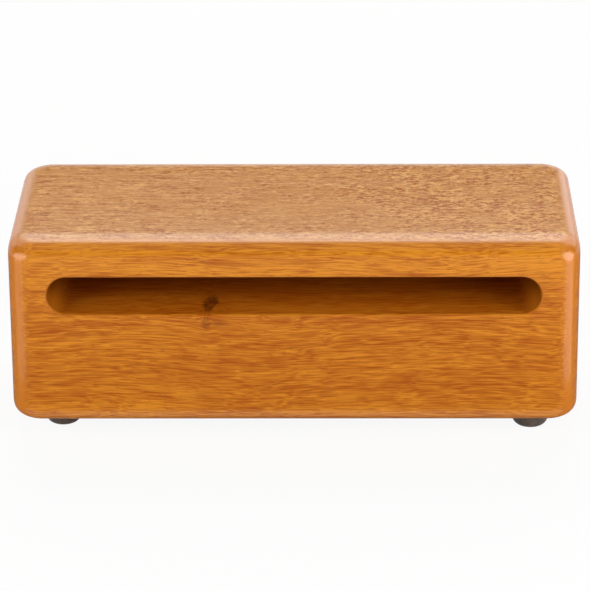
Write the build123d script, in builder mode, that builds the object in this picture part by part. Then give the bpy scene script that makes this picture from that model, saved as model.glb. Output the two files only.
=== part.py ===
from build123d import *
import os

# Lengths are in millimetres. +X runs along the block to the right, +Y to the back, +Z up.
# The origin is under the middle of the block, on the plane that the feet stand on.

# The block: one piece of solid hardwood with every edge rounded over, and the four
# upright edges sanded a little rounder than the others
block_length = 203.0
block_depth = 88.5
block_height = 70.0
edge_radius = 8.0
corner_sanding = 1.5

# The slot: a blind groove with full round ends, milled in from the front face
slot_height = 14.0
top_plate = 13.0
end_wall = 14.0
back_wall = 14.0
mouth_ease = 0.8

# The feet: moulded rubber bumpers with a rounded lower edge
foot_diameter = 13.0
foot_height = 5.8
foot_lower_radius = 3.2
foot_rim_ease = 0.3

# The adhesive discs: a thin layer between each foot and the underside
adhesive_thickness = 0.2
adhesive_setback = 0.2

# How far each foot's rim stands in from the flat part of the underside: the feet were
# placed by hand, so each has its own distance from the end and from the front or back
front_left_end_margin = 2.8
front_left_face_margin = 3.7
front_right_end_margin = 1.8
front_right_face_margin = 1.2
rear_left_end_margin = 2.4
rear_left_face_margin = 2.6
rear_right_end_margin = 2.2
rear_right_face_margin = 2.3

foot_radius = foot_diameter / 2
adhesive_radius = foot_radius - foot_rim_ease - adhesive_setback
underside = foot_height + adhesive_thickness
slot_length = block_length - 2 * end_wall
slot_depth = block_depth - back_wall
slot_middle = underside + block_height - top_plate - slot_height / 2

os.makedirs("parts", exist_ok=True)

# The block is rounded over first and slotted afterwards, and the mouth's edge is sanded
with BuildPart() as block:
    with Locations((0, 0, underside)):
        Box(block_length, block_depth, block_height, align=(Align.CENTER, Align.CENTER, Align.MIN))
    fillet(block.edges().filter_by(Axis.Z), edge_radius + corner_sanding)
    fillet(block.edges().group_by(Axis.Z)[0] + block.edges().group_by(Axis.Z)[-1], edge_radius)
    front = Plane(origin=(0, -block_depth / 2, slot_middle), x_dir=(1, 0, 0), z_dir=(0, -1, 0))
    with BuildSketch(front):
        SlotOverall(slot_length, slot_height)
    extrude(amount=-slot_depth, mode=Mode.SUBTRACT)
    mouth = block.faces().sort_by(Axis.Y)[0].inner_wires()[0].edges()
    fillet(mouth, mouth_ease)
block.part.label = "block"
export_step(block.part, "parts/block.step")

# Each corner: the side it is on along X and along Y, and its two margins
corners = {
    "front_left": (-1, -1, front_left_end_margin, front_left_face_margin),
    "front_right": (1, -1, front_right_end_margin, front_right_face_margin),
    "rear_left": (-1, 1, rear_left_end_margin, rear_left_face_margin),
    "rear_right": (1, 1, rear_right_end_margin, rear_right_face_margin),
}

for corner, (side_x, side_y, end_margin, face_margin) in corners.items():
    foot_x = side_x * (block_length / 2 - edge_radius - end_margin - foot_radius)
    foot_y = side_y * (block_depth / 2 - edge_radius - face_margin - foot_radius)

    # A bumper that stands on the flat left inside its rounded lower edge
    with BuildPart() as foot:
        with Locations((foot_x, foot_y, 0)):
            Cylinder(foot_radius, foot_height, align=(Align.CENTER, Align.CENTER, Align.MIN))
        fillet(foot.edges().filter_by(GeomType.CIRCLE).sort_by(Axis.Z)[0], foot_lower_radius)
        fillet(foot.edges().filter_by(GeomType.CIRCLE).sort_by(Axis.Z)[-1], foot_rim_ease)
    foot.part.label = f"{corner}_foot"
    export_step(foot.part, f"parts/{corner}_foot.step")

    # The disc that holds the bumper to the underside, set back from the bumper's rim
    with BuildPart() as adhesive:
        with Locations((foot_x, foot_y, foot_height)):
            Cylinder(adhesive_radius, adhesive_thickness, align=(Align.CENTER, Align.CENTER, Align.MIN))
    adhesive.part.label = f"{corner}_foot_adhesive"
    export_step(adhesive.part, f"parts/{corner}_foot_adhesive.step")
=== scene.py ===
import math
from functools import partial

import bpy
from bpy.props import FloatProperty, FloatVectorProperty, PointerProperty
from mathutils import Matrix, Vector


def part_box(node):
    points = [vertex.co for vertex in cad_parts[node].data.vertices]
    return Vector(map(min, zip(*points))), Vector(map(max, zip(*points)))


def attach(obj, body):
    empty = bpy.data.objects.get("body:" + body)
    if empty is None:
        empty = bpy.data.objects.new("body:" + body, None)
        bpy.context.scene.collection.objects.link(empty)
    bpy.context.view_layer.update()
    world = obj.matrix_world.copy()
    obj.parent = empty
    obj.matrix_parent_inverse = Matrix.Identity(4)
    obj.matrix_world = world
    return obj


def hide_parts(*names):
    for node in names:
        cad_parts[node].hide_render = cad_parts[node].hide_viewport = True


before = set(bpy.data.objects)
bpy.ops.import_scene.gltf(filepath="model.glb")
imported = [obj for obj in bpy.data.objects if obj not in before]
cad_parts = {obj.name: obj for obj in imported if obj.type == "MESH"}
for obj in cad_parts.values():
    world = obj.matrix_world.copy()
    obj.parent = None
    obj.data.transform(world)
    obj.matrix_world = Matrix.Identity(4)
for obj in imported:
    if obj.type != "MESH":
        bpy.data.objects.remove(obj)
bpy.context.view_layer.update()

bl_info = {
    "name": "Woodblock",
    "version": (1, 0, 0),
    "blender": (4, 5, 0),
    "location": "View3D > Sidebar > Woodblock",
    "description": "Shapes and finishes the woodblock's hardwood body, its rubber feet and their adhesive",
    "category": "Object",
}

FEET = [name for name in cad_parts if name.endswith("_foot")]
ADHESIVES = [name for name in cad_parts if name.endswith("_foot_adhesive")]

# The kinds of node that are used most
MATH = "ShaderNodeMath"
VECTOR_MATH = "ShaderNodeVectorMath"
MAP_RANGE = "ShaderNodeMapRange"
NOISE = "ShaderNodeTexNoise"
MIX = "ShaderNodeMix"
SEPARATE = "ShaderNodeSeparateXYZ"
COMBINE = "ShaderNodeCombineXYZ"


def linear(hex_colour):
    """Linear red, green and blue of an sRGB hex colour."""
    channels = [int(hex_colour[i:i + 2], 16) / 255 for i in (1, 3, 5)]
    return tuple(c / 12.92 if c <= 0.04045 else ((c + 0.055) / 1.055) ** 2.4 for c in channels)


def colour(name, description, hex_colour):
    """A colour property that starts from an sRGB hex value."""
    return FloatVectorProperty(name=name, description=description, subtype="COLOR", size=3,
                               min=0.0, max=1.0, default=linear(hex_colour))


def length(name, description, millimetres):
    """A length property that starts from a size in millimetres."""
    return FloatProperty(name=name, description=description, unit="LENGTH", min=0.0,
                         default=millimetres / 1000)


def lengths(name, description, millimetres):
    """Three lengths, along X, Y and Z, that start from sizes in millimetres."""
    return FloatVectorProperty(name=name, description=description, unit="LENGTH", size=3,
                               default=[value / 1000 for value in millimetres])


def factor(name, description, value):
    """A share from nought to one."""
    return FloatProperty(name=name, description=description, subtype="FACTOR", min=0.0, max=1.0,
                         default=value)


class BlockSettings(bpy.types.PropertyGroup):
    """The block's sanded edges and its milled slot."""
    rounds: lengths("Rounds", "How far each face rolls over before its edge, along X, Y and Z",
                    (11.0, 12.6, 7.6))
    roll: FloatProperty(name="Roll", description="2 rolls over as a circle does, more starts more gently",
                        min=2.0, max=6.0, default=2.95)
    corner_ease: factor("Corner ease", "How much more the eight corners are sanded off", 0.05)
    slot_height: length("Slot height", "Height of the slot", 14.0)
    top_plate: length("Top plate", "Wood above the slot", 13.0)
    end_wall: length("End wall", "Wood beyond each end of the slot", 14.0)
    back_wall: length("Back wall", "Wood behind the slot", 14.0)
    mouth_ease: length("Mouth ease", "Radius sanded on the slot's mouth", 0.8)


class HardwoodSettings(bpy.types.PropertyGroup):
    """The block's wood and lacquer."""
    pale: colour("Pale wood", "The lighter fibres", "#D5841E")
    deep: colour("Deep wood", "The darker fibres", "#A74E00")
    vessel: colour("Vessels", "The open vessels that show as fine dashes", "#8A4304")
    flat_pale: colour("Pale flat-sawn wood", "The lighter wood of the top and underside", "#E6A65A")
    flat_deep: colour("Deep flat-sawn wood", "The darker wood of the top and underside", "#AF5C00")
    knot: colour("Knot", "The bark-brown wood of the pin knot", "#4C1408")
    fibre: length("Fibre width", "Width of one light or dark streak", 0.45)
    vessel_width: length("Vessel width", "Width of one vessel dash", 0.4)
    fleck: length("Fleck width", "Width of one curly fleck of the top", 1.25)
    gloss: factor("Lacquer roughness", "Roughness of the rubbed lacquer", 0.23)


class RubberSettings(bpy.types.PropertyGroup):
    """The moulded feet."""
    body: colour("Rubber", "The rubber's own colour", "#524A43")
    bloom: colour("Bloom", "The greyer film on its surface", "#6E665E")
    roughness: factor("Roughness", "Roughness of the moulded skin", 0.3)


class AdhesiveSettings(bpy.types.PropertyGroup):
    """The film between a foot and the block."""
    film: colour("Film", "The clear acrylic film, seen against the wood", "#D8C9A6")


class StageSettings(bpy.types.PropertyGroup):
    """The floor, lights and camera."""
    floor: colour("Floor", "The floor's colour", "#F4F4F2")
    elevation: FloatProperty(name="Elevation", description="The camera's height above the horizon",
                             subtype="ANGLE", default=math.radians(22.0))
    azimuth: FloatProperty(name="Azimuth", description="The camera's turn to the right of the block's front",
                           subtype="ANGLE", default=math.radians(0.79))
    roll: FloatProperty(name="Roll", description="The camera's roll about its own axis",
                        subtype="ANGLE", default=math.radians(-0.35))
    distance: length("Distance", "From the camera to the middle of the block", 1258.0)
    lens: FloatProperty(name="Lens", description="Focal length on a 36 mm high picture", default=208.9)
    side_light: FloatProperty(name="Side softboxes", default=6.5,
                              description="Radiance of the softboxes before the front corners")
    fill: FloatProperty(name="Fill", description="Strength of the even light from all round", default=0.12)


class WoodblockSettings(bpy.types.PropertyGroup):
    """Everything that can be set on the woodblock."""
    block: PointerProperty(type=BlockSettings)
    hardwood: PointerProperty(type=HardwoodSettings)
    rubber: PointerProperty(type=RubberSettings)
    adhesive: PointerProperty(type=AdhesiveSettings)
    stage: PointerProperty(type=StageSettings)


def add(tree, kind, inputs=None, **settings):
    """Adds a node with its settings; a socket given as an input is linked, any other value is set."""
    node = tree.nodes.new(kind)
    for name, value in settings.items():
        setattr(node, name, value)
    for name, value in (inputs or {}).items():
        if isinstance(value, bpy.types.NodeSocket):
            tree.links.new(value, node.inputs[name])
        else:
            node.inputs[name].default_value = value
    return node


def new_material(name):
    """A material with an empty tree and its output."""
    material = bpy.data.materials.new(name)
    material.use_nodes = True
    material.node_tree.nodes.clear()
    return material, material.node_tree, add(material.node_tree, "ShaderNodeOutputMaterial")


def rgba(values):
    """A colour with full alpha."""
    return (*values, 1.0)


def inverse(sizes):
    """One over each size, which turns a place in millimetres into a count of such sizes."""
    return tuple(1 / size for size in sizes)


# The block's grid: points along each side of the box, and the share of them that stays flat
GRID_POINTS = 65
FLAT_SHARE = 0.5

# One over the product of the three parts of a unit vector that points into a corner
CORNER_SCALE = 3 * math.sqrt(3)

# The slot's cutter, a bar from -0.5 to 0.5: points round it, rings along it, where the mouth's round starts
# and ends along it, the round's first angle, and how far it stands out of the mouth, in mouth eases
CUTTER_POINTS = 66
CUTTER_RINGS = 10
LIP_START = -0.4
LIP_END = 0.4
LIP_FIRST_TURN = math.radians(15)
LIP_SPILL = 0.2

# Edges that bend by more than this are shaded crisp
CRISP_ANGLE = math.radians(30)

SANDED_BLOCK_INPUTS = (
    ("Size", "NodeSocketVector"),
    ("Middle", "NodeSocketVector"),
    ("Rounds", "NodeSocketVector"),
    ("Roll", "NodeSocketFloat"),
    ("Corner Ease", "NodeSocketFloat"),
    ("Slot Length", "NodeSocketFloat"),
    ("Slot Height", "NodeSocketFloat"),
    ("Slot Depth", "NodeSocketFloat"),
    ("Slot Middle", "NodeSocketVector"),
    ("Mouth Ease", "NodeSocketFloat"),
    ("Material", "NodeSocketMaterial"),
)


def rolled_box(make, given):
    """A box whose faces roll over into each other: its corners are pulled onto a superellipsoid."""
    cube = make("GeometryNodeMeshCube", {"Size": (2.0, 2.0, 2.0), "Vertices X": GRID_POINTS,
                                         "Vertices Y": GRID_POINTS, "Vertices Z": GRID_POINTS})
    place = make("GeometryNodeInputPosition").outputs[0]
    side = make(VECTOR_MATH, {0: place}, operation="SIGN").outputs[0]
    out = make(VECTOR_MATH, {0: place}, operation="ABSOLUTE").outputs[0]

    # Each point is first a share of the flat part, then a share of the round
    flat = make(VECTOR_MATH, {0: out, "Scale": 1 / FLAT_SHARE}, operation="SCALE").outputs[0]
    flat = make(VECTOR_MATH, {0: flat, 1: (1.0, 1.0, 1.0)}, operation="MINIMUM").outputs[0]
    past = make(VECTOR_MATH, {0: out, 1: (FLAT_SHARE,) * 3}, operation="SUBTRACT").outputs[0]
    past = make(VECTOR_MATH, {0: past, 1: (0.0, 0.0, 0.0)}, operation="MAXIMUM").outputs[0]
    past = make(VECTOR_MATH, {0: past, "Scale": 1 / (1 - FLAT_SHARE)}, operation="SCALE").outputs[0]

    # The round's share is brought onto the superellipsoid of the roll
    powered = make(VECTOR_MATH, {0: past, 1: given["Roll"]}, operation="POWER").outputs[0]
    total = make(VECTOR_MATH, {0: powered, 1: (1.0, 1.0, 1.0)}, operation="DOT_PRODUCT").outputs["Value"]
    root = make(MATH, {0: 1.0, 1: given["Roll"]}, operation="DIVIDE").outputs[0]
    reach = make(MATH, {0: total, 1: root}, operation="POWER").outputs[0]
    rolled = make(VECTOR_MATH, {0: past, 1: reach}, operation="DIVIDE").outputs[0]

    # Only where all three directions meet is more sanded off
    towards = make(VECTOR_MATH, {0: rolled}, operation="NORMALIZE").outputs[0]
    parts = make(SEPARATE, {0: towards}).outputs
    meeting = make(MATH, {0: parts[0], 1: parts[1]}, operation="MULTIPLY").outputs[0]
    meeting = make(MATH, {0: meeting, 1: parts[2]}, operation="MULTIPLY").outputs[0]
    meeting = make(MATH, {0: meeting, 1: CORNER_SCALE}, operation="MULTIPLY").outputs[0]
    meeting = make(MATH, {0: meeting, 1: 2.0}, operation="POWER").outputs[0]
    sanded = make(MATH, {0: meeting, 1: given["Corner Ease"]}, operation="MULTIPLY").outputs[0]
    kept = make(MATH, {0: 1.0, 1: sanded}, operation="SUBTRACT").outputs[0]
    rolled = make(VECTOR_MATH, {0: rolled, "Scale": kept}, operation="SCALE").outputs[0]

    # Both shares are then brought to the block's own size and place
    half = make(VECTOR_MATH, {0: given["Size"], "Scale": 0.5}, operation="SCALE").outputs[0]
    core = make(VECTOR_MATH, {0: half, 1: given["Rounds"]}, operation="SUBTRACT").outputs[0]
    rolled = make(VECTOR_MATH, {0: rolled, 1: given["Rounds"]}, operation="MULTIPLY").outputs[0]
    point = make(VECTOR_MATH, {0: flat, 1: core, 2: rolled}, operation="MULTIPLY_ADD").outputs[0]
    point = make(VECTOR_MATH, {0: point, 1: side, 2: given["Middle"]}, operation="MULTIPLY_ADD").outputs[0]
    return make("GeometryNodeSetPosition", {"Geometry": cube.outputs["Mesh"], "Position": point}).outputs[0]


def slot_cutter(make, given):
    """The milled space: a long bar with round ends that flares out over the mouth's sanded edge."""
    bar = make("GeometryNodeMeshCylinder", {"Vertices": CUTTER_POINTS, "Side Segments": CUTTER_RINGS,
                                            "Fill Segments": 1, "Radius": 1.0, "Depth": 1.0})
    place = make(SEPARATE, {0: make("GeometryNodeInputPosition").outputs[0]}).outputs
    turn = make(MAP_RANGE, {"Value": place[2], "From Min": LIP_START, "From Max": LIP_END,
                            "To Min": LIP_FIRST_TURN, "To Max": math.pi / 2}).outputs[0]
    outside = make(MAP_RANGE, {"Value": place[2], "From Min": -0.5, "From Max": LIP_START,
                               "To Min": LIP_SPILL, "To Max": 0.0}).outputs[0]
    inside = make(MAP_RANGE, {"Value": place[2], "From Min": LIP_END, "From Max": 0.5}).outputs[0]

    # How far the section stands out past the slot's own height, in mouth eases
    sine = make(MATH, {0: turn}, operation="SINE").outputs[0]
    flare = make(MATH, {0: 1.0, 1: sine}, operation="SUBTRACT").outputs[0]
    flare = make(MATH, {0: outside, 1: 1 / math.tan(LIP_FIRST_TURN), 2: flare},
                 operation="MULTIPLY_ADD").outputs[0]
    half = make(MATH, {0: given["Slot Height"], 1: 0.5}, operation="MULTIPLY").outputs[0]
    radius = make(MATH, {0: flare, 1: given["Mouth Ease"], 2: half}, operation="MULTIPLY_ADD").outputs[0]

    # How deep the section lies behind the front
    cosine = make(MATH, {0: turn}, operation="COSINE").outputs[0]
    sunk = make(MATH, {0: 1.0, 1: cosine}, operation="SUBTRACT").outputs[0]
    sunk = make(MATH, {0: sunk, 1: outside}, operation="SUBTRACT").outputs[0]
    sunk = make(MATH, {0: sunk, 1: given["Mouth Ease"]}, operation="MULTIPLY").outputs[0]
    rest = make(MATH, {0: given["Slot Depth"], 1: given["Mouth Ease"]}, operation="SUBTRACT").outputs[0]
    deep = make(MATH, {0: inside, 1: rest, 2: sunk}, operation="MULTIPLY_ADD").outputs[0]

    # The two halves of the bar are drawn apart to the slot's length
    run = make(MATH, {0: given["Slot Length"], 1: given["Slot Height"]}, operation="SUBTRACT").outputs[0]
    run = make(MATH, {0: run, 1: 0.5}, operation="MULTIPLY").outputs[0]
    side = make(MATH, {0: place[0]}, operation="SIGN").outputs[0]
    shift = make(MATH, {0: side, 1: run}, operation="MULTIPLY").outputs[0]
    across = make(MATH, {0: place[0], 1: radius, 2: shift}, operation="MULTIPLY_ADD").outputs[0]
    high = make(MATH, {0: place[1], 1: radius}, operation="MULTIPLY").outputs[0]
    point = make(COMBINE, {0: across, 1: deep, 2: high}).outputs[0]
    point = make(VECTOR_MATH, {0: point, 1: given["Slot Middle"]}, operation="ADD").outputs[0]
    bar = make("GeometryNodeSetPosition", {"Geometry": bar.outputs["Mesh"], "Position": point})
    bar = make("GeometryNodeFlipFaces", {0: bar.outputs[0]})
    return make("GeometryNodeStoreNamedAttribute",
                {"Geometry": bar.outputs[0], "Name": "milled", "Value": 1.0},
                data_type="FLOAT", domain="FACE").outputs[0]


def sanded_block_tree():
    """The tree that shapes the block: the rolled box less the milled slot, crisp where the two meet."""
    tree = bpy.data.node_groups.new("sanded_block", "GeometryNodeTree")
    for name, kind in SANDED_BLOCK_INPUTS:
        tree.interface.new_socket(name, in_out="INPUT", socket_type=kind)
    tree.interface.new_socket("Mesh", in_out="OUTPUT", socket_type="NodeSocketGeometry")
    make = partial(add, tree)
    given = make("NodeGroupInput").outputs
    cut = make("GeometryNodeMeshBoolean",
               {"Mesh 1": rolled_box(make, given), "Mesh 2": slot_cutter(make, given)},
               operation="DIFFERENCE", solver="EXACT").outputs
    angle = make("GeometryNodeInputMeshEdgeAngle").outputs["Unsigned Angle"]
    corner = make("FunctionNodeCompare", {0: angle, 1: CRISP_ANGLE}, operation="GREATER_THAN").outputs[0]
    crisp = make("FunctionNodeBooleanMath", {0: corner, 1: cut["Intersecting Edges"]},
                 operation="OR").outputs[0]
    shaded = make("GeometryNodeSetShadeSmooth",
                  {"Geometry": cut["Mesh"], "Selection": crisp, "Shade Smooth": False},
                  domain="EDGE").outputs[0]
    whole = make("GeometryNodeRealizeInstances", {"Geometry": shaded}).outputs[0]
    finished = make("GeometryNodeSetMaterial", {"Geometry": whole, "Material": given["Material"]}).outputs[0]
    make("NodeGroupOutput", {"Mesh": finished})
    return tree


def made_by(tree, name, values):
    """A plain mesh object that a tree makes from the values of its inputs."""
    piece = bpy.data.objects.new(name, bpy.data.meshes.new(name))
    bpy.context.scene.collection.objects.link(piece)
    maker = piece.modifiers.new(tree.name, "NODES")
    maker.node_group = tree
    for socket in tree.interface.items_tree:
        if socket.in_out == "INPUT":
            maker[socket.identifier] = values[socket.name]
    depsgraph = bpy.context.evaluated_depsgraph_get()
    mesh = bpy.data.meshes.new_from_object(piece.evaluated_get(depsgraph), depsgraph=depsgraph)
    piece.modifiers.clear()
    piece.data = mesh
    return piece


# Noise swings about this value
NOISE_MEAN = 0.5

# A tone may pass one, up to this limit, which makes the palest wood paler than its colour
TONE_LIMIT = 1.2

# The pin knot, in millimetres: where it comes out on the front, how steeply it rises and drifts to the right
# towards the back, its half width and half height, the share of that width which it has on the front, the
# depth at which it has all of it, the depth over which it changes from its front to its inner look, and
# between which depths it ends
KNOT_PLACE = (-31.2, -44.25, 45.9)
KNOT_RISE = 0.3
KNOT_DRIFT = 0.12
KNOT_HALF = (2.5, 2.2)
KNOT_FRONT_SHARE = 0.6
KNOT_FULL = 10.0
KNOT_DEPTH = 2.5
KNOT_END = (22.0, 28.0)

# The knot's rays: about how many there are to a radian, and their reach inside and on the front
RAY_COUNT = 3.0
RAY_REACH = (1.0, 2.8)

# The knot's look: between which shares of its half width its edge fades, the size of its heart as such a
# share, about how many mottled patches there are to a half width and the noise values between which they
# grow dark, and how dark the heart, the palest patches and the knot inside and on the front are
KNOT_EDGE = (0.65, 1.35)
KNOT_HEART = 0.7
MOTTLE_COUNT = 1.6
MOTTLE_RANGE = (0.35, 0.6)
HEART_DARK = 0.9
MOTTLE_DARK = 0.5
KNOT_DARK = (0.9, 0.5)

# The tinted wood beside the knot on the front, in millimetres: its place from the knot and its half sizes,
# the share of them that is evenly dark, and how dark it is
STAIN_PLACE = (4.2, 0.0, -0.4)
STAIN_HALF = (4.6, 30.0, 1.5)
STAIN_CORE = 0.2
STAIN_DARK = 0.3


def pin_knot(make, mm):
    """How dark the pin knot is at a point, and how far it pushes the grain up or down there."""
    away = make(VECTOR_MATH, {0: mm, 1: KNOT_PLACE}, operation="SUBTRACT").outputs[0]
    rel = make(SEPARATE, {0: away}).outputs
    front = make(MAP_RANGE, {"Value": rel[1], "From Max": KNOT_DEPTH,
                             "To Min": 1.0, "To Max": 0.0}).outputs[0]
    lift = make(MATH, {0: rel[1], 1: -KNOT_RISE, 2: rel[2]}, operation="MULTIPLY_ADD").outputs[0]
    across = make(MATH, {0: rel[1], 1: -KNOT_DRIFT, 2: rel[0]}, operation="MULTIPLY_ADD").outputs[0]
    half_width = make(MAP_RANGE, {"Value": rel[1], "From Max": KNOT_FULL,
                                  "To Min": KNOT_FRONT_SHARE * KNOT_HALF[0],
                                  "To Max": KNOT_HALF[0]}).outputs[0]
    u = make(MATH, {0: across, 1: half_width}, operation="DIVIDE").outputs[0]
    v = make(MATH, {0: lift, 1: KNOT_HALF[1]}, operation="DIVIDE").outputs[0]
    flat = make(COMBINE, {0: u, 1: v}).outputs[0]
    far = make(VECTOR_MATH, {0: flat}, operation="LENGTH").outputs["Value"]

    # A dark, mottled knot, a little paler at its heart, with rays out of it that are longest on the front
    angle = make(MATH, {0: v, 1: u}, operation="ARCTAN2").outputs[0]
    rays = make(NOISE, {"W": angle, "Scale": RAY_COUNT, "Detail": 1.0}, noise_dimensions="1D").outputs[0]
    rays = make(MATH, {0: rays, 1: NOISE_MEAN}, operation="SUBTRACT").outputs[0]
    reach = make(MAP_RANGE, {"Value": front, "To Min": RAY_REACH[0], "To Max": RAY_REACH[1]}).outputs[0]
    edge = make(MATH, {0: rays, 1: reach, 2: far}, operation="MULTIPLY_ADD").outputs[0]
    body = make(MAP_RANGE, {"Value": edge, "From Min": KNOT_EDGE[0], "From Max": KNOT_EDGE[1],
                            "To Min": 1.0, "To Max": 0.0}, interpolation_type="SMOOTHSTEP").outputs[0]
    heart = make(MAP_RANGE, {"Value": far, "From Max": KNOT_HEART,
                             "To Min": HEART_DARK, "To Max": 1.0}).outputs[0]
    mottle = make(NOISE, {"Vector": flat, "Scale": MOTTLE_COUNT, "Detail": 2.0}).outputs[0]
    mottle = make(MAP_RANGE, {"Value": mottle, "From Min": MOTTLE_RANGE[0], "From Max": MOTTLE_RANGE[1],
                              "To Min": MOTTLE_DARK}).outputs[0]
    strength = make(MAP_RANGE, {"Value": front, "To Min": KNOT_DARK[0], "To Max": KNOT_DARK[1]}).outputs[0]
    dark = make(MATH, {0: body, 1: heart}, operation="MULTIPLY").outputs[0]
    dark = make(MATH, {0: dark, 1: mottle}, operation="MULTIPLY").outputs[0]
    dark = make(MATH, {0: dark, 1: strength}, operation="MULTIPLY").outputs[0]
    within = make(MAP_RANGE, {"Value": rel[1], "From Min": KNOT_END[0], "From Max": KNOT_END[1],
                              "To Min": 1.0, "To Max": 0.0}).outputs[0]
    dark = make(MATH, {0: dark, 1: within}, operation="MULTIPLY").outputs[0]

    # The stain beside it
    stain = make(VECTOR_MATH, {0: away, 1: STAIN_PLACE}, operation="SUBTRACT").outputs[0]
    stain = make(VECTOR_MATH, {0: stain, 1: STAIN_HALF}, operation="DIVIDE").outputs[0]
    stain = make(VECTOR_MATH, {0: stain}, operation="LENGTH").outputs["Value"]
    stain = make(MAP_RANGE, {"Value": stain, "From Min": STAIN_CORE, "To Min": STAIN_DARK, "To Max": 0.0},
                 interpolation_type="SMOOTHSTEP").outputs[0]
    stain = make(MATH, {0: stain, 1: front}, operation="MULTIPLY").outputs[0]
    dark = make(MATH, {0: dark, 1: stain}, operation="MAXIMUM").outputs[0]

    # The grain parts round the knot
    round_it = make(MATH, {0: far, 1: far, 2: 1.0}, operation="MULTIPLY_ADD").outputs[0]
    push = make(MATH, {0: lift, 1: round_it}, operation="DIVIDE").outputs[0]
    return dark, push


# How the grain wanders, in millimetres along X, Y and Z: the sizes of its slow waves and of its ripples,
# and how far each swings the grain
WANDER_SIZE = (60.0, 30.0, 24.0)
WANDER_SWING = (0.0, 7.0, 6.0)
RIPPLE_SIZE = (9.0, 4.0, 4.0)
RIPPLE_SWING = (0.0, 1.2, 0.2)


def grain_space(make, mm, push):
    """Points along the grain in millimetres: it wanders up and down along the block and parts at the knot."""
    grain = mm
    for size, swing in ((WANDER_SIZE, WANDER_SWING), (RIPPLE_SIZE, RIPPLE_SWING)):
        wave = make(VECTOR_MATH, {0: mm, 1: inverse(size)}, operation="MULTIPLY").outputs[0]
        wave = make(NOISE, {"Vector": wave, "Scale": 1.0, "Detail": 0.0}).outputs["Color"]
        wave = make(VECTOR_MATH, {0: wave, 1: (NOISE_MEAN,) * 3}, operation="SUBTRACT").outputs[0]
        grain = make(VECTOR_MATH, {0: wave, 1: swing, 2: grain}, operation="MULTIPLY_ADD").outputs[0]
    aside = make(COMBINE, {2: push}).outputs[0]
    return make(VECTOR_MATH, {0: grain, 1: aside}, operation="SUBTRACT").outputs[0]


# The streaks: how many times longer than wide, their width in fibre widths, and their share of the tone
STREAKS = ((26, 1, 1.0), (16, 3, 0.15), (16, 11, 0.4))

# The part of the streaks' sum that becomes a tone from nought to one
STREAK_RANGE = (0.58, 0.96)

# Where the front grows lighter towards the top, and where a painted reflection of the floor pales it towards
# the bottom of the block, in millimetres up, and by how much
PALE_ABOVE = (50.0, 66.0, 0.3)
PAINTED_FLOOR_REFLECTION = (17.0, 9.0, 0.35)


def fibres(make, grain, settings):
    """A tone from nought to the limit: fine streaks along the grain over paler and deeper zones, lighter
    towards the top, and with a painted reflection of the floor towards the bottom.
    """
    width = settings.fibre * 1000
    tone = 0.0
    for stretch, widths, share in STREAKS:
        streak = make(VECTOR_MATH, {0: grain, 1: (1 / stretch, 1.0, 1.0)}, operation="MULTIPLY").outputs[0]
        streak = make(NOISE, {"Vector": streak, "Scale": 1 / (widths * width), "Detail": 1.0}).outputs[0]
        tone = make(MATH, {0: streak, 1: share, 2: tone}, operation="MULTIPLY_ADD").outputs[0]
    tone = make(MAP_RANGE, {"Value": tone, "From Min": STREAK_RANGE[0], "From Max": STREAK_RANGE[1]},
                clamp=False).outputs[0]
    high = make(SEPARATE, {0: grain}).outputs[2]
    # Lighter towards the top, and a painted reflection of the floor along the lower edge
    for start, end, paler in (PALE_ABOVE, PAINTED_FLOOR_REFLECTION):
        layer = make(MAP_RANGE, {"Value": high, "From Min": start, "From Max": end, "To Max": paler})
        tone = make(MATH, {0: tone, 1: layer.outputs[0]}, operation="ADD").outputs[0]
    return make("ShaderNodeClamp", {0: tone, 1: 0.0, 2: TONE_LIMIT}).outputs[0]


# The vessels: how many times longer than wide, and the noise values between which a dash shows
VESSEL_STRETCH = 7
VESSEL_RANGE = (0.64, 0.74)


def vessels(make, grain, settings):
    """Fine dark dashes along the grain, from nought to one."""
    run = make(VECTOR_MATH, {0: grain, 1: (1 / VESSEL_STRETCH, 1.0, 1.0)}, operation="MULTIPLY").outputs[0]
    run = make(NOISE, {"Vector": run, "Scale": 1 / (settings.vessel_width * 1000), "Detail": 1.0}).outputs[0]
    return make(MAP_RANGE, {"Value": run, "From Min": VESSEL_RANGE[0],
                            "From Max": VESSEL_RANGE[1]}).outputs[0]


# The flat-sawn figure of the top, in millimetres along X. Its flecks grow stronger across a line that slants
# towards the back, and the streaks of its left end weaken. Patches shift both by up to half their swing.
CURLY_START = (21.0, 39.0)
CURLY_STRENGTH = (2.3, 4.5)
CURLY_SLANT = 0.38
STREAKY_END = (-60.0, -32.0)
STREAKY_STRENGTH = (1.9, 1.0)
PATCH_SIZE = 22.0
PATCH_SWING = 36.0

# Its flecks lie in clumps and swirl sideways, with finer flecks between them, and its streaks are long and
# broad: their sizes in millimetres, the noise values between which clumps strengthen the flecks and by how
# much, how far a swirl swings, how many times longer than wide a fleck is, and how strong the finer flecks
# are beside the others
CLUMP_SIZE = 9.0
CLUMP_RANGE = (0.3, 0.7)
CLUMP_STRENGTH = (0.5, 1.5)
SWIRL_SIZE = 5.0
SWIRL_SWING = (0.0, 4.0, 0.0)
FLECK_STRETCH = 2.6
FINE_FLECK = 1.2
FINE_SHARE = 0.5
BROAD_STREAK = (14.0, 1.6, 1.6)

# The tone that the flat-sawn figure swings about
FLAT_TONE = 0.58


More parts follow.
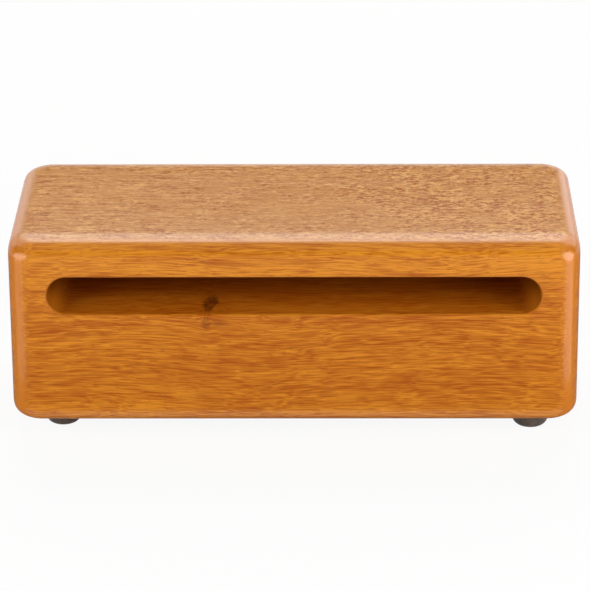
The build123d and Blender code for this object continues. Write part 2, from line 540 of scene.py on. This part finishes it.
def flat_figure(make, mm, grain, settings):
    """A tone from nought to the limit: flecks everywhere, strongest at the right, and streaks at the left."""
    place = make(SEPARATE, {0: mm}).outputs
    patch = make(NOISE, {"Vector": mm, "Scale": 1 / PATCH_SIZE, "Detail": 2.0}).outputs[0]
    bend = make(MATH, {0: patch, 1: PATCH_SWING, 2: -PATCH_SWING / 2}, operation="MULTIPLY_ADD").outputs[0]
    along = make(MATH, {0: place[0], 1: bend}, operation="ADD").outputs[0]
    slanted = make(MATH, {0: place[1], 1: CURLY_SLANT, 2: along}, operation="MULTIPLY_ADD").outputs[0]
    curly = make(MAP_RANGE, {"Value": slanted, "From Min": CURLY_START[0], "From Max": CURLY_START[1],
                             "To Min": CURLY_STRENGTH[0], "To Max": CURLY_STRENGTH[1]}).outputs[0]
    clump = make(NOISE, {"Vector": mm, "Scale": 1 / CLUMP_SIZE, "Detail": 1.0}).outputs[0]
    clump = make(MAP_RANGE, {"Value": clump, "From Min": CLUMP_RANGE[0], "From Max": CLUMP_RANGE[1],
                             "To Min": CLUMP_STRENGTH[0], "To Max": CLUMP_STRENGTH[1]}).outputs[0]
    curly = make(MATH, {0: curly, 1: clump}, operation="MULTIPLY").outputs[0]
    streaky = make(MAP_RANGE, {"Value": along, "From Min": STREAKY_END[0], "From Max": STREAKY_END[1],
                               "To Min": STREAKY_STRENGTH[0], "To Max": STREAKY_STRENGTH[1]}).outputs[0]

    # Curly flecks wander sideways as they run
    swirl = make(NOISE, {"Vector": mm, "Scale": 1 / SWIRL_SIZE, "Detail": 1.0}).outputs["Color"]
    swirl = make(VECTOR_MATH, {0: swirl, 1: (NOISE_MEAN,) * 3}, operation="SUBTRACT").outputs[0]
    swirl = make(VECTOR_MATH, {0: swirl, 1: SWIRL_SWING, 2: mm}, operation="MULTIPLY_ADD").outputs[0]
    run = make(VECTOR_MATH, {0: swirl, 1: (1 / FLECK_STRETCH, 1.0, 1.0)}, operation="MULTIPLY").outputs[0]
    fleck = make(NOISE, {"Vector": run, "Scale": 1 / (settings.fleck * 1000), "Detail": 4.0,
                         "Roughness": 0.62}).outputs[0]
    broad = make(VECTOR_MATH, {0: grain, 1: inverse(BROAD_STREAK)}, operation="MULTIPLY").outputs[0]
    broad = make(NOISE, {"Vector": broad, "Scale": 1.0, "Detail": 2.0}).outputs[0]
    fine = make(NOISE, {"Vector": mm, "Scale": 1 / FINE_FLECK, "Detail": 2.0}).outputs[0]
    speckled = make(MATH, {0: curly, 1: FINE_SHARE}, operation="MULTIPLY").outputs[0]
    tone = FLAT_TONE
    for figure, strength in ((fleck, curly), (fine, speckled), (broad, streaky)):
        swing = make(MATH, {0: figure, 1: NOISE_MEAN}, operation="SUBTRACT").outputs[0]
        tone = make(MATH, {0: swing, 1: strength, 2: tone}, operation="MULTIPLY_ADD").outputs[0]
    return make("ShaderNodeClamp", {0: tone, 1: 0.0, 2: TONE_LIMIT}).outputs[0]


# The end grain, in millimetres: where the heart of the tree lies across and down, the width of a growth ring,
# the size of its waves and how far they swing it, the size of a pore and its share of the tone, and the part
# of the sum of both that becomes a tone from nought to one
HEART = (0.0, -35.0, -90.0)
RING_WIDTH = 3.4
RING_WAVE = 12.0
RING_SWING = 5.0
PORE_SIZE = 0.6
PORE_SHARE = 0.7
RING_RANGE = (0.4, 1.45)


def end_rings(make, mm):
    """Growth rings and fine pores of the two ends, from nought to one."""
    rel = make(VECTOR_MATH, {0: mm, 1: HEART}, operation="SUBTRACT").outputs[0]
    rel = make(VECTOR_MATH, {0: rel, 1: (0.0, 1.0, 1.0)}, operation="MULTIPLY").outputs[0]
    away = make(VECTOR_MATH, {0: rel}, operation="LENGTH").outputs["Value"]
    wave = make(NOISE, {"Vector": mm, "Scale": 1 / RING_WAVE, "Detail": 2.0}).outputs[0]
    away = make(MATH, {0: wave, 1: RING_SWING, 2: away}, operation="MULTIPLY_ADD").outputs[0]
    ring = make(NOISE, {"W": away, "Scale": 1 / RING_WIDTH, "Detail": 3.0, "Roughness": 0.6},
                noise_dimensions="1D").outputs[0]
    pore = make(NOISE, {"Vector": mm, "Scale": 1 / PORE_SIZE, "Detail": 1.0}).outputs[0]
    tone = make(MATH, {0: pore, 1: PORE_SHARE, 2: ring}, operation="MULTIPLY_ADD").outputs[0]
    return make(MAP_RANGE, {"Value": tone, "From Min": RING_RANGE[0], "From Max": RING_RANGE[1]}).outputs[0]


# How far a surface faces up, from nought to one: between which values the flat-sawn wood starts and is full,
# and between which its figure grows from faint to full, and how far it is faded where it is faint
FLAT_SAWN = (0.9, 0.985)
ROLLING = (0.94, 0.995)
ROLLING_FADE = 0.8

# How far a surface faces an end: between which values the streaks, cut across, fade into one tone, and
# between which the end grain starts and is full
TURNED = (0.1, 0.5)
TURNED_TONE = 0.6
END_GRAIN = (0.7, 0.98)

# How strongly the vessels and the end grain tint the wood, and how dark the painted shade in the slot is at
# its round ends, on top of the painted shade all along it
VESSEL_SHARE = 0.5
END_GRAIN_SHARE = 0.8
SLOT_END_PAINTED_SHADE = 0.5
SLOT_PAINTED_SHADE = 0.1

# The lacquer: its refraction, the height of the grain's relief in metres and how strongly it shows, how much
# the grain changes its roughness, and how much rougher it is in the slot
LACQUER_IOR = 1.36
RELIEF_HEIGHT = 0.000004
RELIEF_STRENGTH = 0.5
SHEEN_SWING = 0.04
SLOT_ROUGHER = 0.25


def hardwood_sanded_lacquered(settings):
    """Fine-grained orange hardwood, sanded and lacquered. To the eye: short streaks and vessel dashes along
    the grain, curly flecks on the flat-sawn top, darker ends with rings, a pin knot at the slot's lip,
    and a soft gloss that pales the faces seen at a slant. The milled slot is less glossy, and painted
    shade darkens it a little, most at its round ends."""
    material, tree, out = new_material("hardwood_sanded_lacquered")
    make = partial(add, tree)
    place = make("ShaderNodeTexCoord").outputs
    mm = make(VECTOR_MATH, {0: place["Object"], "Scale": 1000.0}, operation="SCALE").outputs[0]
    facing = make(VECTOR_MATH, {0: place["Normal"]}, operation="ABSOLUTE").outputs[0]
    facing = make(SEPARATE, {0: facing}).outputs
    milled = make("ShaderNodeAttribute", attribute_name="milled").outputs["Fac"]
    outer = make(MATH, {0: 1.0, 1: milled}, operation="SUBTRACT").outputs[0]
    flat_sawn = make(MAP_RANGE, {"Value": facing[2], "From Min": FLAT_SAWN[0],
                                 "From Max": FLAT_SAWN[1]}).outputs[0]
    flat_sawn = make(MATH, {0: flat_sawn, 1: outer}, operation="MULTIPLY").outputs[0]
    turned = make(MAP_RANGE, {"Value": facing[0], "From Min": TURNED[0], "From Max": TURNED[1]}).outputs[0]
    end = make(MAP_RANGE, {"Value": facing[0], "From Min": END_GRAIN[0], "From Max": END_GRAIN[1]}).outputs[0]

    dark, push = pin_knot(make, mm)
    grain = grain_space(make, mm, push)
    tone = fibres(make, grain, settings)
    tone = make(MIX, {0: turned, 2: tone, 3: TURNED_TONE}).outputs[0]
    dash = vessels(make, grain, settings)
    figure = flat_figure(make, mm, grain, settings)
    rolling = make(MAP_RANGE, {"Value": facing[2], "From Min": ROLLING[0], "From Max": ROLLING[1],
                               "To Min": ROLLING_FADE, "To Max": 0.0}).outputs[0]
    figure = make(MIX, {0: rolling, 2: figure, 3: FLAT_TONE}).outputs[0]

    wood = make(MIX, {0: tone, 6: rgba(settings.deep), 7: rgba(settings.pale)},
                data_type="RGBA", clamp_factor=False).outputs[2]
    dash_tint = make(MATH, {0: dash, 1: VESSEL_SHARE}, operation="MULTIPLY").outputs[0]
    wood = make(MIX, {0: dash_tint, 6: wood, 7: rgba(settings.vessel)}, data_type="RGBA").outputs[2]
    flat = make(MIX, {0: figure, 6: rgba(settings.flat_deep), 7: rgba(settings.flat_pale)},
                data_type="RGBA", clamp_factor=False).outputs[2]
    wood = make(MIX, {0: flat_sawn, 6: wood, 7: flat}, data_type="RGBA").outputs[2]

    cross = make(MIX, {0: end_rings(make, mm), 6: rgba(settings.vessel), 7: rgba(settings.pale)},
                 data_type="RGBA").outputs[2]
    cut_across = make(MATH, {0: end, 1: END_GRAIN_SHARE}, operation="MULTIPLY").outputs[0]
    wood = make(MIX, {0: cut_across, 6: wood, 7: cross}, data_type="RGBA").outputs[2]
    # Painted shade: the milled slot is darkened towards the vessel colour, most at its round ends
    slot_shade = make(MATH, {0: end, 1: SLOT_END_PAINTED_SHADE, 2: SLOT_PAINTED_SHADE}, operation="MULTIPLY_ADD").outputs[0]
    slot_shade = make(MATH, {0: slot_shade, 1: milled}, operation="MULTIPLY").outputs[0]
    wood = make(MIX, {0: slot_shade, 6: wood, 7: rgba(settings.vessel)}, data_type="RGBA").outputs[2]
    wood = make(MIX, {0: dark, 6: wood, 7: rgba(settings.knot)}, data_type="RGBA").outputs[2]

    # The grain stands through the lacquer as a fine relief, and the slot has less lacquer
    relief = make(MIX, {0: flat_sawn, 2: tone, 3: figure}).outputs[0]
    bump = make("ShaderNodeBump", {"Height": relief, "Strength": RELIEF_STRENGTH,
                                   "Distance": RELIEF_HEIGHT}).outputs[0]
    sheen = make(MAP_RANGE, {"Value": tone, "To Min": settings.gloss + SHEEN_SWING,
                             "To Max": settings.gloss - SHEEN_SWING}).outputs[0]
    sheen = make(MATH, {0: milled, 1: SLOT_ROUGHER, 2: sheen}, operation="MULTIPLY_ADD").outputs[0]
    lacquer = make("ShaderNodeBsdfPrincipled", {"Base Color": wood, "Roughness": sheen, "IOR": LACQUER_IOR,
                                                "Normal": bump})
    tree.links.new(lacquer.outputs[0], out.inputs["Surface"])
    return material


# The sizes of the rubber's patches of bloom and of the film's hazy patches, in millimetres, and how rough the
# film is between and in its patches
BLOOM_PATCH = 2.5
HAZE_PATCH = 5 / 3
FILM_ROUGHNESS = (0.3, 0.5)


def rubber_moulded(settings):
    """Dark rubber with a slightly shiny moulded skin and a thin grey bloom."""
    material, tree, out = new_material("rubber_moulded")
    make = partial(add, tree)
    place = make("ShaderNodeTexCoord").outputs["Object"]
    patch = make(NOISE, {"Vector": place, "Scale": 1000 / BLOOM_PATCH, "Detail": 3.0}).outputs[0]
    tint = make(MIX, {0: patch, 6: rgba(settings.body), 7: rgba(settings.bloom)}, data_type="RGBA").outputs[2]
    skin = make("ShaderNodeBsdfPrincipled", {"Base Color": tint, "Roughness": settings.roughness})
    tree.links.new(skin.outputs[0], out.inputs["Surface"])
    return material


def acrylic_adhesive_film(settings):
    """Clear acrylic adhesive, which only shows as a thin pale line round the top of a foot."""
    material, tree, out = new_material("acrylic_adhesive_film")
    make = partial(add, tree)
    place = make("ShaderNodeTexCoord").outputs["Object"]
    patch = make(NOISE, {"Vector": place, "Scale": 1000 / HAZE_PATCH, "Detail": 2.0}).outputs[0]
    haze = make(MAP_RANGE, {"Value": patch, "To Min": FILM_ROUGHNESS[0],
                            "To Max": FILM_ROUGHNESS[1]}).outputs[0]
    film = make("ShaderNodeBsdfPrincipled", {"Base Color": rgba(settings.film), "Roughness": haze})
    tree.links.new(film.outputs[0], out.inputs["Surface"])
    return material


def cover(node, material):
    """Gives a CAD node one material all over."""
    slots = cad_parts[node].material_slots
    if not slots:
        raise RuntimeError(f"{node} has no material slot")
    for slot in slots:
        slot.material = material


class WOODBLOCK_OT_make_block(bpy.types.Operator):
    """Shapes the block with its sanded edges and gives it its lacquered hardwood"""
    bl_idname = "woodblock.make_block"
    bl_label = "Make the block"

    def execute(self, context):
        block = context.scene.woodblock.block
        low, high = (Vector(corner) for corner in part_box("block"))
        size = high - low
        slot_middle = Vector(((low.x + high.x) / 2, low.y, high.z - block.top_plate - block.slot_height / 2))
        piece = made_by(sanded_block_tree(), "sanded_block", {
            "Size": size, "Middle": (low + high) / 2, "Rounds": block.rounds, "Roll": block.roll,
            "Corner Ease": block.corner_ease, "Slot Length": size.x - 2 * block.end_wall,
            "Slot Height": block.slot_height, "Slot Depth": size.y - block.back_wall,
            "Slot Middle": slot_middle, "Mouth Ease": block.mouth_ease,
            "Material": hardwood_sanded_lacquered(context.scene.woodblock.hardwood),
        })
        if not piece.data.polygons:
            raise RuntimeError("the block came out empty")
        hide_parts("block")
        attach(piece, "root")
        return {"FINISHED"}


class WOODBLOCK_OT_finish_feet(bpy.types.Operator):
    """Gives the feet their moulded rubber"""
    bl_idname = "woodblock.finish_feet"
    bl_label = "Finish the feet"

    def execute(self, context):
        material = rubber_moulded(context.scene.woodblock.rubber)
        for node in FEET:
            cover(node, material)
        return {"FINISHED"}


class WOODBLOCK_OT_finish_adhesive(bpy.types.Operator):
    """Gives the discs between feet and block their adhesive film"""
    bl_idname = "woodblock.finish_adhesive"
    bl_label = "Finish the adhesive discs"

    def execute(self, context):
        material = acrylic_adhesive_film(context.scene.woodblock.adhesive)
        for node in ADHESIVES:
            cover(node, material)
        return {"FINISHED"}


# The bank of softboxes behind, which grows brighter upwards: name, elevation in degrees, width and height
# in metres, and radiance. They stand a metre from the block, right behind it.
BACK_SOFTBOXES = (
    ("back_softbox_low", 31.2, 0.90, 0.167, 2.9),
    ("back_softbox_middle", 43, 0.85, 0.245, 3.15),
    ("back_softbox_high", 57, 0.70, 0.245, 5.9),
)
BACK_DISTANCE = 1.0
BACK_TURN = 180

# The two softboxes before the front corners, the right one a little stronger
SIDE_TURN = 56
SIDE_ELEVATION = 20
SIDE_SIZE = (0.46, 0.25)
SIDE_DISTANCE = 0.65
RIGHT_SHARE = 1.19

# The cards that only the lacquer mirrors: name, shape, the point of the block's box that each faces in shares
# along X, Y and Z, its turn and elevation from there in degrees, its distance, width and height in metres,
# and radiance. They give the corners their spots, pale the top's front corners, and draw the pale lines of
# the upright edges, of the top's rims and of the lower edge.
CARDS = (
    ("left_corner_card", "ELLIPSE", (0, 0, 0.92), -50, 17, 0.006, (0.020, 0.009), 6.5),
    ("right_corner_card", "ELLIPSE", (1, 0, 0.92), 50, 17, 0.006, (0.016, 0.012), 9.5),
    ("left_edge_card", "RECTANGLE", (0, 0, 0.5), -60, -10, 0.047, (0.048, 0.06), 1.8),
    ("right_edge_card", "RECTANGLE", (1, 0, 0.5), 60, -10, 0.047, (0.048, 0.06), 3.4),
    ("left_rim_card", "RECTANGLE", (0, 0.5, 1), -162, 8, 1.0, (0.15, 0.30), 0.6),
    ("right_rim_card", "RECTANGLE", (1, 0.5, 1), 162, 8, 1.0, (0.15, 0.30), 1.1),
    ("left_wing_card", "RECTANGLE", (0, 0, 1), -138, 34, 1.0, (0.62, 0.78), 1.8),
    ("right_wing_card", "RECTANGLE", (1, 0, 1), 138, 34, 1.0, (0.62, 0.78), 3.0),
    ("low_card", "RECTANGLE", (0.5, -0.09, -0.06), 0, -90, 0.001, (0.21, 0.016), 1.3),
)

# The floor, in metres: it is plain white by these shares, to the camera and in reflections, and lit paper for
# the rest. In reflections its white is dimmed near the block as a painted shade of it, and full further off,
# to the front and back.
FLOOR_HALF = 3.0
FLOOR_SHARE_SEEN, FLOOR_SHARE_MIRRORED = 0.92, 0.9
FLOOR_SEEN, FLOOR_MIRRORED_NEAR, FLOOR_MIRRORED_FAR = 1.0, 0.22, 1.0
FLOOR_NEAR, FLOOR_FAR = 0.15, 0.22

# The world: white to the camera. In reflections it is a white backdrop, a dark wall and a white ceiling,
# which blend into each other between these elevations in degrees.
WORLD_SEEN, BACKDROP_MIRRORED, WALL_MIRRORED, CEILING_MIRRORED = 1.0, 1.0, 0.03, 1.0
BACKDROP_TOP, WALL_BOTTOM, WALL_TOP, CEILING_EDGE = 11, 17, 26, 60


def by_ray(tree, seen, mirrored, lighting):
    """A level for each kind of ray: the camera's, those of reflections and glass, and those that light."""
    path = add(tree, "ShaderNodeLightPath").outputs
    mirror = add(tree, MATH, {0: path["Is Glossy Ray"], 1: path["Is Transmission Ray"]},
                 operation="MAXIMUM").outputs[0]
    level = add(tree, MAP_RANGE, {"Value": mirror, "To Min": lighting, "To Max": mirrored}).outputs[0]
    return add(tree, MIX, {0: path["Is Camera Ray"], 2: level, 3: seen}).outputs[0]


def direction(turn, elevation):
    """The way from the block, turned to the right of its front and raised, both in radians."""
    return Vector((math.sin(turn) * math.cos(elevation), -math.cos(turn) * math.cos(elevation),
                   math.sin(elevation)))


def softbox(name, target, turn, elevation, distance, size, radiance, shape="RECTANGLE"):
    """A flat softbox at a distance from a target, turned from the front and raised by degrees."""
    away = direction(math.radians(turn), math.radians(elevation))
    lamp = bpy.data.lights.new(name, "AREA")
    lamp.shape = shape
    lamp.size, lamp.size_y = size
    area = lamp.size * lamp.size_y * (math.pi / 4 if shape == "ELLIPSE" else 1)
    lamp.energy = math.pi * area * radiance
    obj = bpy.data.objects.new(name, lamp)
    obj.location = target + away * distance
    obj.rotation_euler = (-away).to_track_quat("-Z", "Y").to_euler()
    obj.visible_camera = False
    bpy.context.scene.collection.objects.link(obj)
    return obj


def pale_floor(stage):
    """A pale floor that still takes the block's shadow."""
    mesh = bpy.data.meshes.new("floor")
    corners = [(x * FLOOR_HALF, y * FLOOR_HALF, 0.0) for x, y in ((-1, -1), (1, -1), (1, 1), (-1, 1))]
    mesh.from_pydata(corners, [], [(0, 1, 2, 3)])
    floor = bpy.data.objects.new("floor", mesh)
    bpy.context.scene.collection.objects.link(floor)
    material, tree, out = new_material("paper_matt")
    make = partial(add, tree)
    paper = make("ShaderNodeBsdfDiffuse", {"Color": rgba(stage.floor)})
    place = make(SEPARATE, {0: make("ShaderNodeTexCoord").outputs["Object"]}).outputs
    # Painted shade: in reflections the floor's white is dimmed near the block, to the front and back
    away = make(MATH, {0: place[1]}, operation="ABSOLUTE").outputs[0]
    mirrored = make(MAP_RANGE, {"Value": away, "From Min": FLOOR_NEAR, "From Max": FLOOR_FAR,
                                "To Min": FLOOR_MIRRORED_NEAR, "To Max": FLOOR_MIRRORED_FAR}).outputs[0]
    level = by_ray(tree, FLOOR_SEEN, mirrored, 0.0)
    white = make("ShaderNodeEmission", {"Color": (1.0, 1.0, 1.0, 1.0), "Strength": level})
    share = by_ray(tree, FLOOR_SHARE_SEEN, FLOOR_SHARE_MIRRORED, 0.0)
    mixed = make("ShaderNodeMixShader", {0: share, 1: paper.outputs[0], 2: white.outputs[0]})
    tree.links.new(mixed.outputs[0], out.inputs["Surface"])
    mesh.materials.append(material)


def studio_world(stage):
    """Even fill light: white to the camera, and a backdrop, wall and ceiling in reflections."""
    world = bpy.data.worlds.new("studio")
    world.use_nodes = True
    tree = world.node_tree
    tree.nodes.clear()
    make = partial(add, tree)
    backdrop_top, wall_bottom, wall_top, ceiling_edge = (
        math.sin(math.radians(angle)) for angle in (BACKDROP_TOP, WALL_BOTTOM, WALL_TOP, CEILING_EDGE))
    up = make(SEPARATE, {0: make("ShaderNodeTexCoord").outputs["Generated"]}).outputs[2]
    wall = make(MAP_RANGE, {"Value": up, "From Min": backdrop_top, "From Max": wall_bottom,
                            "To Min": BACKDROP_MIRRORED, "To Max": WALL_MIRRORED}).outputs[0]
    ceiling = make(MAP_RANGE, {"Value": up, "From Min": wall_top, "From Max": ceiling_edge,
                               "To Min": wall, "To Max": CEILING_MIRRORED}).outputs[0]
    level = by_ray(tree, WORLD_SEEN, ceiling, stage.fill)
    light = make("ShaderNodeBackground", {"Color": (1.0, 1.0, 1.0, 1.0), "Strength": level})
    make("ShaderNodeOutputWorld", {"Surface": light.outputs[0]})
    bpy.context.scene.world = world


# The picture's height in pixels and in millimetres on the camera's sensor, and where the block's middle lies
# from the picture's middle, in pixels to the right and up
PHOTO_HEIGHT = 591
SENSOR_HEIGHT = 36.0
AIM_RIGHT = 0.45
AIM_UP = 6.8


def set_camera(stage, middle):
    """A long lens in front of the block, a little above it."""
    back = direction(stage.azimuth, stage.elevation)
    right = (-back).cross(Vector((0, 0, 1))).normalized()
    up = right.cross(-back)
    c, s = math.cos(stage.roll), math.sin(stage.roll)
    right, up = c * right + s * up, -s * right + c * up
    pixel = stage.distance * SENSOR_HEIGHT / (stage.lens * PHOTO_HEIGHT)
    place = middle + back * stage.distance
    aim = middle - right * AIM_RIGHT * pixel - up * AIM_UP * pixel
    forward = (aim - place).normalized()
    right = (right - forward * right.dot(forward)).normalized()
    up = right.cross(forward)
    lens = bpy.data.cameras.new("camera")
    lens.sensor_fit = "VERTICAL"
    lens.sensor_height = SENSOR_HEIGHT
    lens.lens = stage.lens
    camera = bpy.data.objects.new("camera", lens)
    camera.matrix_world = Matrix((
        (right.x, up.x, -forward.x, place.x),
        (right.y, up.y, -forward.y, place.y),
        (right.z, up.z, -forward.z, place.z),
        (0, 0, 0, 1)))
    bpy.context.scene.collection.objects.link(camera)
    bpy.context.scene.camera = camera


class WOODBLOCK_OT_set_stage(bpy.types.Operator):
    """Sets the floor, the softboxes, the world and the camera"""
    bl_idname = "woodblock.set_stage"
    bl_label = "Set the stage"

    def execute(self, context):
        stage = context.scene.woodblock.stage
        context.scene.view_settings.view_transform = "Standard"
        low, high = (Vector(corner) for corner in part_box("block"))
        middle = (low + high) / 2
        pale_floor(stage)
        studio_world(stage)
        for name, elevation, width, height, radiance in BACK_SOFTBOXES:
            softbox(name, middle, BACK_TURN, elevation, BACK_DISTANCE, (width, height), radiance)
        for name, turn, share in (("left_softbox", -SIDE_TURN, 1.0),
                                  ("right_softbox", SIDE_TURN, RIGHT_SHARE)):
            softbox(name, middle, turn, SIDE_ELEVATION, SIDE_DISTANCE, SIDE_SIZE,
                    stage.side_light * share).visible_glossy = False
        for name, shape, shares, turn, elevation, distance, size, radiance in CARDS:
            target = low + (high - low) * Vector(shares)
            softbox(name, target, turn, elevation, distance, size, radiance, shape).visible_diffuse = False
        set_camera(stage, middle)
        return {"FINISHED"}


class WOODBLOCK_PT_panel(bpy.types.Panel):
    """Lists what the woodblock is made and finished with"""
    bl_idname = "WOODBLOCK_PT_panel"
    bl_label = "Woodblock"
    bl_space_type = "VIEW_3D"
    bl_region_type = "UI"
    bl_category = "Woodblock"

    def draw(self, context):
        for operator in OPERATORS:
            self.layout.operator(operator.bl_idname)


OPERATORS = (WOODBLOCK_OT_make_block, WOODBLOCK_OT_finish_feet, WOODBLOCK_OT_finish_adhesive,
             WOODBLOCK_OT_set_stage)
SETTINGS = (BlockSettings, HardwoodSettings, RubberSettings, AdhesiveSettings, StageSettings,
            WoodblockSettings)
CLASSES = (*SETTINGS, *OPERATORS, WOODBLOCK_PT_panel)


def register():
    for cls in CLASSES:
        bpy.utils.register_class(cls)
    bpy.types.Scene.woodblock = PointerProperty(type=WoodblockSettings)


def unregister():
    del bpy.types.Scene.woodblock
    for cls in reversed(CLASSES):
        bpy.utils.unregister_class(cls)


def main():
    register()
    bpy.ops.woodblock.make_block()
    bpy.ops.woodblock.finish_feet()
    bpy.ops.woodblock.finish_adhesive()
    bpy.ops.woodblock.set_stage()


if __name__ == "__main__":
    main()
